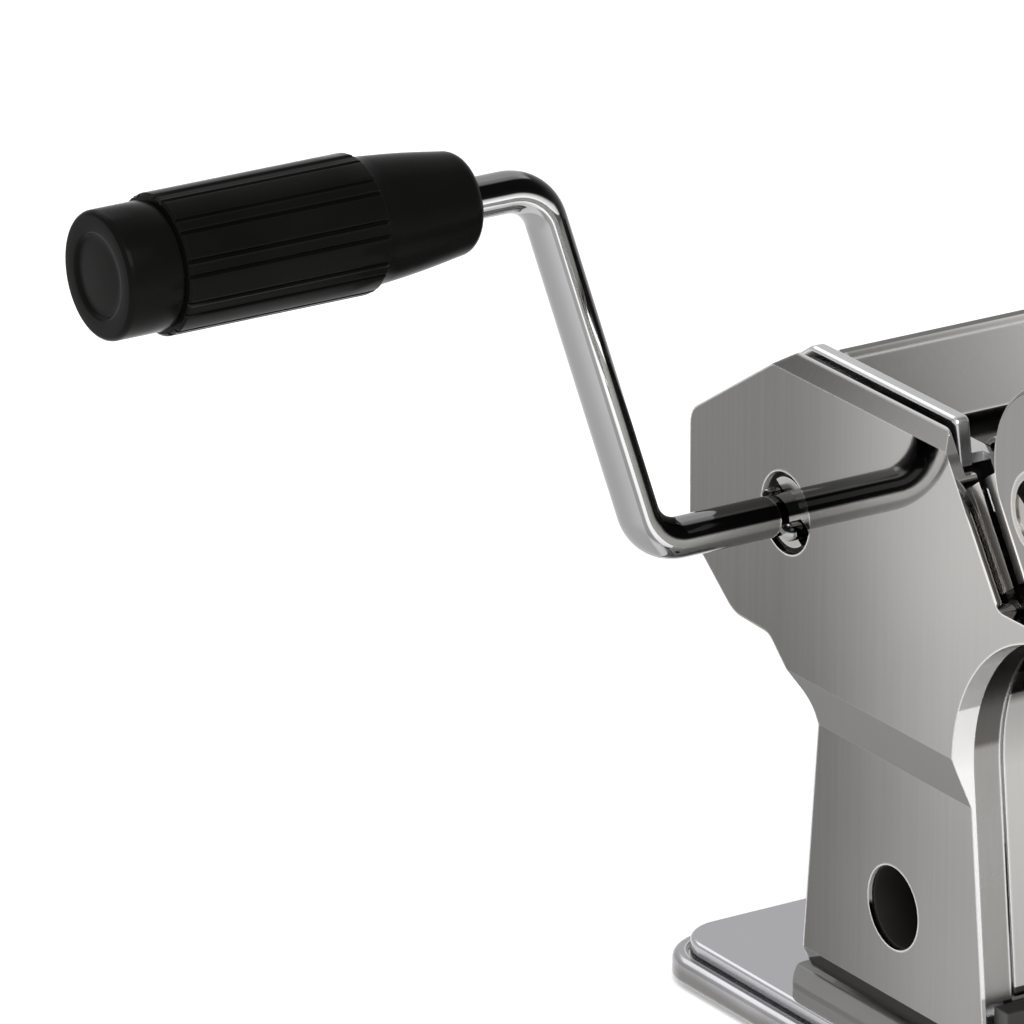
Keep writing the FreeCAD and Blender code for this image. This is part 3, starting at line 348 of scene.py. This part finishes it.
def chrome(name):
    """Plated rod: mirror bright and lightly smudged. Its colour carries painted reflections: the dark and grey
    bands that round chrome shows in a studio are painted as colours that follow the surface's own direction, so
    they stay on the rod as it turns."""
    material, nodes, links, shader = new_material(name)
    shader.inputs["Metallic"].default_value = 1.0
    even = object_space(nodes, links)
    cloud = noise(nodes, links, even, 40.0, 4.0)
    plate = blend_colours(nodes, links, remap(nodes, links, cloud, 0.3, 0.7, 0, 1), (0.60, 0.60, 0.60),
                          (0.66, 0.66, 0.655))
    # Painted reflection: a grey band along the top of the rod
    crown_reflection = all_of(nodes, links, facing(nodes, links, "Z", 0.74, 0.88), facing(nodes, links, "Y", 0.5, 0.2))
    plate = blend_colours(nodes, links, crown_reflection, plate, (0.26, 0.26, 0.26))
    # Painted reflection: faces that look down are darkened
    below = facing(nodes, links, "Z", -0.12, -0.3)
    plate = tint(nodes, links, plate, below, 0.6, (0.22, 0.22, 0.22))
    # Painted reflections: dark bands on the upper side, the inner side and a narrow dark line between two
    # directions
    upper_reflection = all_of(nodes, links, facing(nodes, links, "Z", 0.17, 0.27),
                   facing(nodes, links, "Z", 0.84, 0.76), facing(nodes, links, "Y", 0.2, 0.0))
    inner = facing(nodes, links, "X", 0.22, 0.33)
    seam_reflection = all_of(nodes, links, facing(nodes, links, "X", -0.37, -0.31),
                  facing(nodes, links, "X", -0.14, -0.20), facing(nodes, links, "Z", -0.3, -0.2))
    dark = calculate(nodes, links, "MAXIMUM", upper_reflection, inner)
    dark = calculate(nodes, links, "MAXIMUM", dark, calculate(nodes, links, "MULTIPLY", seam_reflection, 0.7))
    # Painted reflection: the outer side is darkened
    outer = facing(nodes, links, "X", -0.31, -0.37)
    plate = tint(nodes, links, plate, outer, 0.75, (0.19, 0.19, 0.19))
    plate = blend_colours(nodes, links, dark, plate, (0.012, 0.012, 0.012))
    links.new(plate, shader.inputs["Base Color"])
    smudge = noise(nodes, links, even, 90.0, 6.0, 0.6)
    links.new(remap(nodes, links, smudge, 0.3, 0.7, 0.03, 0.07), shader.inputs["Roughness"])
    fine = noise(nodes, links, even, 600.0, 3.0)
    links.new(bump(nodes, links, fine, 0.08, 0.000004), shader.inputs["Normal"])
    return material


def plastic(name, dark, light, smooth, rough, wear=2.0, ior=1.45):
    """Moulded plastic: slight colour drift, uneven gloss, a fine skin and edges rubbed paler."""
    material, nodes, links, shader = new_material(name)
    shader.inputs["IOR"].default_value = ior
    even = object_space(nodes, links)
    cloud = noise(nodes, links, even, 30.0, 4.0)
    smudge = noise(nodes, links, even, 120.0, 6.0, 0.6)
    fine = noise(nodes, links, even, 1500.0, 2.0)
    edges = edge_mask(nodes, links, 0.0004)
    base = blend_colours(nodes, links, remap(nodes, links, cloud, 0.3, 0.7, 0, 1), dark, light)
    pale = tuple(c * wear for c in light)
    links.new(blend_colours(nodes, links, edges, base, pale), shader.inputs["Base Color"])
    links.new(remap(nodes, links, smudge, 0.3, 0.7, smooth, rough), shader.inputs["Roughness"])
    links.new(bump(nodes, links, fine, 0.3, 0.00002), shader.inputs["Normal"])
    return material


def make_materials():
    front, back = COVER_LOW.y, COVER_HIGH.y
    hopper_left, hopper_right = COVER_LOW.x, COVER_LOW.x + 75 * MM
    tray_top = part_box("base_tray")[1].z
    return {
        # Painted reflection lighter towards the front, painted shade towards the bottom, painted highlight on the
        # lip
        "polished_steel": housing_steel("polished_steel", (0.128, 0.125, 0.119), (0.350, 0.344, 0.331),
                                        AXIS.y + 4 * MM, front + 20 * MM, lip=0.5, shade_low=0.40,
                                        shade_from=AXIS.z + 18 * MM, shade_to=AXIS.z - 60 * MM),
        # Painted reflection: slightly lighter towards the front
        "panel_steel": housing_steel("panel_steel", (0.30, 0.295, 0.284), (0.34, 0.335, 0.322), back, front),
        # Painted reflection: lighter towards the right
        "hopper_steel": housing_steel("hopper_steel", (0.145, 0.142, 0.135), (0.50, 0.491, 0.478),
                                      hopper_left, hopper_right, axis="X", gloss=(0.22, 0.3), body=0.35),
        # Painted shade: faces that look down are darker
        "arch_steel": housing_steel("arch_steel", (0.235, 0.229, 0.218), (0.245, 0.239, 0.228), back, front,
                                    down_shade=(-0.02, -0.07, 0.9), down_shade_colour=(0.08, 0.076, 0.069),
                                    gloss=(0.24, 0.32)),
        # Painted reflection: slightly lighter towards the front
        "head_steel": housing_steel("head_steel", (0.16, 0.157, 0.152), (0.20, 0.197, 0.19), back, front),
        # Painted reflection: the tray's top is lighter and bluer than its sides
        "base_steel": housing_steel("base_steel", (0.16, 0.155, 0.150), (0.40, 0.398, 0.412),
                                    tray_top - 7 * MM, tray_top - 3 * MM, axis="Z", gloss=(0.16, 0.24)),
        "frame_steel": metal("frame_steel", (0.46, 0.46, 0.46), (0.55, 0.55, 0.55), 0.18, 0.28,
                             (1, 0.05, 1)),
        "crank_chrome": chrome("crank_chrome"),
        "grip_plastic": plastic("grip_plastic", (0.0030, 0.0030, 0.0027), (0.0048, 0.0048, 0.0043),
                                0.16, 0.26, wear=1.5, ior=1.10),
        "dark_plastic": plastic("dark_plastic", (0.085, 0.083, 0.078), (0.110, 0.107, 0.100), 0.16, 0.24),
        "sill_plastic": plastic("sill_plastic", (0.016, 0.015, 0.014), (0.026, 0.025, 0.023), 0.30, 0.42),
        "foot_rubber": plastic("foot_rubber", (0.015, 0.015, 0.015), (0.025, 0.025, 0.025), 0.6, 0.8),
        "roller_steel": metal("roller_steel", (0.27, 0.262, 0.25), (0.34, 0.33, 0.315), 0.16, 0.28,
                              (0.05, 1, 1)),
        "gear_steel": metal("gear_steel", (0.34, 0.33, 0.32), (0.42, 0.41, 0.40), 0.30, 0.45, scuff=0.1),
        "bush_steel": metal("bush_steel", (0.30, 0.29, 0.275), (0.38, 0.37, 0.35), 0.18, 0.30),
        "spring_steel": metal("spring_steel", (0.38, 0.38, 0.39), (0.46, 0.46, 0.47), 0.25, 0.35),
        "dial_aluminium": metal("dial_aluminium", (0.62, 0.62, 0.63), (0.68, 0.68, 0.69), 0.25, 0.38),
    }


NODE_FINISH = [("head_plate", "head_steel"), ("rear_guide", "hopper_steel"), ("arch_flanges", "arch_steel"),
               ("arch_panel", "panel_steel"), ("front_guide", "panel_steel"), ("front_sill", "sill_plastic"),
               ("accessory_socket", "sill_plastic")]


def dress_nodes(materials):
    for row in RECORD["subparts"]:
        node = NODES[row["node"]]
        slot = row["material_slot"]
        for start, finish in NODE_FINISH:
            if row["node"].startswith(start):
                slot = finish
        node.data.materials.clear()
        node.data.materials.append(materials.get(slot, materials["frame_steel"]))


# ---------------------------------------------------------------- mesh building

def solid_of_rings(name, rings, closed, smooth_angle=35):
    """Skins a run of equal rings; closed joins the last to the first, otherwise both ends are capped."""
    count = len(rings[0])
    verts = [point for ring in rings for point in ring]
    faces = []
    last = len(rings) if closed else len(rings) - 1
    for i in range(last):
        here, there = i * count, (i + 1) % len(rings) * count
        for j in range(count):
            k = (j + 1) % count
            faces.append((here + j, here + k, there + k, there + j))
    if not closed:
        faces.append(tuple(reversed(range(count))))
        faces.append(tuple((len(rings) - 1) * count + j for j in range(count)))
    mesh = bpy.data.meshes.new(name)
    mesh.from_pydata(verts, [], faces)
    shaper = bmesh.new()
    shaper.from_mesh(mesh)
    bmesh.ops.recalc_face_normals(shaper, faces=shaper.faces)
    shaper.to_mesh(mesh)
    shaper.free()
    mesh.polygons.foreach_set("use_smooth", [True] * len(mesh.polygons))
    mesh.set_sharp_from_angle(angle=math.radians(smooth_angle))
    piece = bpy.data.objects.new(name, mesh)
    bpy.context.scene.collection.objects.link(piece)
    return piece


def turned(name, stations, y, z, steps, ripple=None, closed=True, smooth_angle=35):
    """Turns (x, radius, ripple share) stations about an axis along X; ripple is a depth by angle."""
    rings = []
    for x, radius, share in stations:
        ring = []
        for i in range(steps):
            angle = 2 * math.pi * i / steps
            r = radius - (ripple(math.degrees(angle)) * share if ripple else 0)
            ring.append((x, y + r * math.cos(angle), z + r * math.sin(angle)))
        rings.append(ring)
    return solid_of_rings(name, rings, closed, smooth_angle)


def quarter_round(x, radius, length, drop, steps=6):
    """Stations from (x, radius - drop) to (x + length, radius) along a quarter ellipse."""
    stations = []
    for i in range(steps + 1):
        angle = math.pi / 2 * i / steps
        stations.append((x + length * (1 - math.cos(angle)), radius - drop * (1 - math.sin(angle)), 0))
    return stations


def join_pieces(main, others, smooth_angle):
    """Adds the other pieces' meshes to the first one's."""
    shaper = bmesh.new()
    for piece in [main, *others]:
        shaper.from_mesh(piece.data)
    shaper.to_mesh(main.data)
    shaper.free()
    main.data.polygons.foreach_set("use_smooth", [True] * len(main.data.polygons))
    main.data.set_sharp_from_angle(angle=math.radians(smooth_angle))
    for piece in others:
        mesh = piece.data
        bpy.data.objects.remove(piece)
        bpy.data.meshes.remove(mesh)


def finish_piece(piece, node, body, material):
    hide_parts(node)
    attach(piece, body)
    piece.data.materials.append(material)


# ---------------------------------------------------------------- crank and grip

CRANK_OUT = 30.8 * MM
CRANK_LEAN = 24.8 * MM
CRANK_ARM = 74.8 * MM
ROD_R = 4.0 * MM
BEND_R = 10.0 * MM
ROD_INSIDE = 27.0 * MM
EAR_LEAN = math.radians(33)
GRIP_NOSE_R = 9.25 * MM
GRIP_R = 12.0 * MM
RIB_R = 13.1 * MM
GRIP_TAPER = 22.5 * MM
CAP_SEAT_R = 7.2 * MM
RIB_GROUPS = 10
RIB_PHASE = 167.9
RIB_HALF = 6.1
GROOVE_HALF = 2.3
GROOVE_DEPTH = 0.8 * MM


def rib_ripple(angle):
    """Depth below the barrel's lands: two narrow grooves with a thin rib between them, ten times round."""
    period = 360 / RIB_GROUPS
    from_rib = abs((angle - RIB_PHASE + period / 2) % period - period / 2)
    off = abs(from_rib - RIB_HALF) / GROOVE_HALF
    if off < 1:
        return GROOVE_DEPTH * (0.5 + 0.5 * math.cos(math.pi * off))
    return 0.12 * MM if from_rib < RIB_HALF else 0.0


def make_grip_body(material):
    low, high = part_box("grip_body")
    seat, nose = low.x, high.x
    barrel = nose - GRIP_TAPER
    bore = ROD_R + 0.08 * MM
    stations = [(seat, CAP_SEAT_R, 0), (seat, GRIP_R - 0.9 * MM, 0), (seat + 0.3 * MM, GRIP_R - 0.3 * MM, 0),
                (seat + 0.4 * MM, RIB_R - 0.45 * MM, 0.4), (seat + 0.9 * MM, RIB_R, 1)]
    stations += [(seat + (barrel - seat) * i / 6, RIB_R, 1) for i in range(1, 6)]
    stations += [(barrel - 0.9 * MM, RIB_R, 1), (barrel - 0.3 * MM, RIB_R - 0.25 * MM, 0.6),
                 (barrel - 0.05 * MM, GRIP_R + 0.1 * MM, 0), (barrel + 0.3 * MM, GRIP_R - 0.05 * MM, 0)]
    tip = nose - 3.0 * MM
    tip_r = GRIP_NOSE_R + 0.55 * MM
    for i in range(1, 8):
        share = i / 7
        bulge = 0.25 * MM * math.sin(math.pi * share)
        stations.append((barrel + (tip - barrel) * share, GRIP_R + (tip_r - GRIP_R) * share + bulge, 0))
    for i in range(1, 7):
        angle = math.pi / 2 * i / 6
        stations.append((tip + 2.9 * MM * math.sin(angle), tip_r - 2.4 * MM * (1 - math.cos(angle)), 0))
    stations += [(nose - 0.1 * MM, bore + 1.2 * MM, 0), (nose - 0.7 * MM, bore + 0.9 * MM, 0),
                 (nose - 0.9 * MM, bore, 0), (seat + 5.4 * MM, bore, 0), (seat + 5.4 * MM, CAP_SEAT_R, 0)]
    piece = turned("grip_ribbed", stations, AXIS.y, AXIS.z + CRANK_ARM, 360, rib_ripple)
    finish_piece(piece, "grip_body", "grip", material)


def make_grip_cap(material):
    low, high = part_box("grip_cap")
    end, seat = low.x, high.x
    disc_r = 7.6 * MM
    stations = [(end + 0.55 * MM, 0.02 * MM, 0), (end + 0.62 * MM, disc_r - 1.6 * MM, 0),
                (end + 0.7 * MM, disc_r - 0.35 * MM, 0), (end + 0.6 * MM, disc_r - 0.05 * MM, 0),
                (end + 0.3 * MM, disc_r + 0.1 * MM, 0), (end + 0.06 * MM, disc_r + 0.4 * MM, 0),
                (end, disc_r + 0.8 * MM, 0)]
    stations += [(end + x, r, share) for x, r, share in quarter_round(0, GRIP_R, 1.3 * MM, 1.0 * MM, 8)]
    stations += [(end + (seat - end) * 0.5, GRIP_R, 0), (seat - 0.5 * MM, GRIP_R, 0),
                 (seat - 0.15 * MM, GRIP_R - 0.15 * MM, 0), (seat, GRIP_R - 0.6 * MM, 0),
                 (seat, CAP_SEAT_R, 0), (end + 4.0 * MM, CAP_SEAT_R, 0), (end + 4.0 * MM, 0.02 * MM, 0)]
    piece = turned("grip_end_cap", stations, AXIS.y, AXIS.z + CRANK_ARM, 192, closed=False, smooth_angle=50)
    finish_piece(piece, "grip_cap", "grip", material)


def bent_path(corners, bend, steps):
    """Points along a line through the corners with a round bend at each inner one."""
    points = [Vector(corners[0])]
    for before, corner, after in zip(corners, corners[1:], corners[2:]):
        inward = (Vector(before) - Vector(corner)).normalized()
        outward = (Vector(after) - Vector(corner)).normalized()
        half = inward.angle(outward) / 2
        centre = Vector(corner) + (inward + outward).normalized() * bend / math.sin(half)
        first = Vector(corner) + inward * bend / math.tan(half) - centre
        last = Vector(corner) + outward * bend / math.tan(half) - centre
        sweep = first.angle(last)
        for i in range(steps + 1):
            share = i / steps
            spoke = first * math.sin((1 - share) * sweep) + last * math.sin(share * sweep)
            points.append(centre + spoke / math.sin(sweep))
    points.append(Vector(corners[-1]))
    return points


def make_crank_rod(material):
    """The bent rod, with rounded ends and its middle pinched into two lobes where it enters the socket."""
    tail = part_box("crank_rod")[0].x
    level, high = AXIS.z, AXIS.z + CRANK_ARM
    first = COVER_LOW.x - CRANK_OUT
    corners = [(COVER_LOW.x + ROD_INSIDE, AXIS.y, level), (first, AXIS.y, level),
               (first - CRANK_LEAN, AXIS.y, high), (tail, AXIS.y, high)]
    points = bent_path(corners, BEND_R, 16)
    rings = []
    steps = 72
    for i, point in enumerate(points):
        before = points[max(i - 1, 0)]
        after = points[min(i + 1, len(points) - 1)]
        along = (after - before).normalized()
        side = Vector((0, 1, 0))
        up = side.cross(along)
        for radius, shift in ring_sizes(i, len(points)):
            rings.append([point + along * shift + (side * math.cos(2 * math.pi * j / steps)
                          + up * math.sin(2 * math.pi * j / steps)) * radius for j in range(steps)])
    rod = solid_of_rings("crank_bar", rings, closed=False)
    join_pieces(rod, [make_lobe(side) for side in (-1, 1)], 50)
    finish_piece(rod, "crank_rod", "crank", material)


def ring_sizes(index, count):
    """(radius, shift) of the rings at one path point: the two ends are rounded over."""
    edge = 0.8 * MM
    if index == 0:
        return [(ROD_R - edge, 0), (ROD_R - 0.3 * edge, 0.3 * edge), (ROD_R, edge)]
    if index == count - 1:
        return [(ROD_R, -edge), (ROD_R - 0.3 * edge, -0.3 * edge), (ROD_R - edge, 0)]
    return [(ROD_R, 0)]


def make_lobe(side):
    """One pinched lobe beside the rod, standing a little proud of the cover."""
    reach, size = 4.3 * MM, 1.8 * MM
    y = AXIS.y + side * reach * math.cos(EAR_LEAN)
    z = AXIS.z + side * reach * math.sin(EAR_LEAN)
    start, end = COVER_LOW.x - 2.8 * MM, COVER_LOW.x + 4.2 * MM
    round_end = quarter_round(0, size, 1.4 * MM, 1.75 * MM, 8)
    stations = [(start + x, r, 0) for x, r, _ in round_end]
    stations += [(end - x, r, 0) for x, r, _ in reversed(round_end)]
    return turned(f"crank_lobe_{side}", stations, y, z, 40, closed=False, smooth_angle=60)


# ---------------------------------------------------------------- springs

def make_coil(name, start, along, radius, wire, length, turns):
    """A round-wire compression spring from its start point, along one direction."""
    along = Vector(along)
    across = along.orthogonal().normalized()
    third = along.cross(across)
    round_steps = 12
    steps = int(turns * 28)
    climb = math.atan2(length, 2 * math.pi * radius * turns)
    rings = []
    for i in range(steps + 1):
        angle = 2 * math.pi * turns * i / steps
        outward = across * math.cos(angle) + third * math.sin(angle)
        ahead = third * math.cos(angle) - across * math.sin(angle)
        upward = along * math.cos(climb) - ahead * math.sin(climb)
        centre = Vector(start) + along * (length * i / steps) + outward * radius
        rings.append([centre + (outward * math.cos(2 * math.pi * k / round_steps)
                                + upward * math.sin(2 * math.pi * k / round_steps)) * wire
                      for k in range(round_steps)])
    return solid_of_rings(name, rings, closed=False, smooth_angle=50)


def make_return_springs(material):
    """Two springs between the bearing blocks and the frames, built at one fixed length."""
    low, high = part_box("return_springs")
    radius, wire, turns = 2.05 * MM, 0.5 * MM, 4.5
    block_face = AXIS.y - 23.6 * MM
    slot_back = AXIS.y - 13.0 * MM
    start = block_face + wire + 0.05 * MM
    length = slot_back - block_face - 2 * wire - 0.2 * MM
    middle = (low.x + high.x) / 2
    coils = [make_coil(f"return_coils_{side}", (middle + side * 80.4 * MM, start, AXIS.z), (0, 1, 0),
                       radius, wire, length, turns) for side in (-1, 1)]
    join_pieces(coils[0], coils[1:], 50)
    finish_piece(coils[0], "return_springs", "front_carriage", material)
    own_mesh(coils[0])


def make_knob_spring(material):
    """The spring inside the knob, built at one fixed length."""
    low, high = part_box("knob_spring")
    centre = (low + high) / 2
    wire, turns = 0.4 * MM, 3.6
    floor = low.x + 0.3 * MM
    length = high.x - low.x - 2 * wire - 0.5 * MM
    coil = make_coil("knob_coil", (floor + wire, centre.y, centre.z), (1, 0, 0),
                     4.4 * MM, wire, length, turns)
    finish_piece(coil, "knob_spring", "knob", material)
    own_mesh(coil)


# ---------------------------------------------------------------- crisp edges on the CAD nodes

def soften_edges(node, width):
    """Rounds a node's sharp edges a little, so that they catch the light as pressed metal does."""
    weld = node.modifiers.new("weld", "WELD")
    weld.merge_threshold = 0.000002
    flat = node.modifiers.new("flat", "DECIMATE")
    flat.decimate_type = "DISSOLVE"
    flat.angle_limit = math.radians(0.5)
    flat.delimit = set()
    bevel = node.modifiers.new("bevel", "BEVEL")
    bevel.width = width
    bevel.segments = 3
    bevel.limit_method = "ANGLE"
    bevel.angle_limit = math.radians(16)
    bevel.use_clamp_overlap = True
    normals = node.modifiers.new("normals", "WEIGHTED_NORMAL")
    normals.keep_sharp = False
    normals.weight = 100


EDGE_WIDTHS = {
    "side_cover_left": 0.0004, "side_cover_right": 0.0004, "side_frame_left": 0.0002,
    "side_frame_right": 0.0002, "base_tray": 0.0003, "leg_plinths": 0.0003, "front_sill": 0.0003,
}


# ---------------------------------------------------------------- making

bpy.context.scene.view_settings.view_transform = "Standard"
make_camera()
make_world()
make_floor()
area_light("front_pool", (-0.25, -0.75, 0.75), (-0.2, -0.25, 0.0), (0.9, 0.5), 9)
area_light("back_wash", (-0.1, 1.3, 1.3), (-0.05, 0.4, 0.0), (1.6, 1.0), 7)
MATERIALS = make_materials()
dress_nodes(MATERIALS)
make_grip_body(MATERIALS["grip_plastic"])
make_grip_cap(MATERIALS["grip_plastic"])
make_crank_rod(MATERIALS["crank_chrome"])
make_return_springs(MATERIALS["spring_steel"])
make_knob_spring(MATERIALS["spring_steel"])
for name, width in EDGE_WIDTHS.items():
    soften_edges(NODES[name], width)
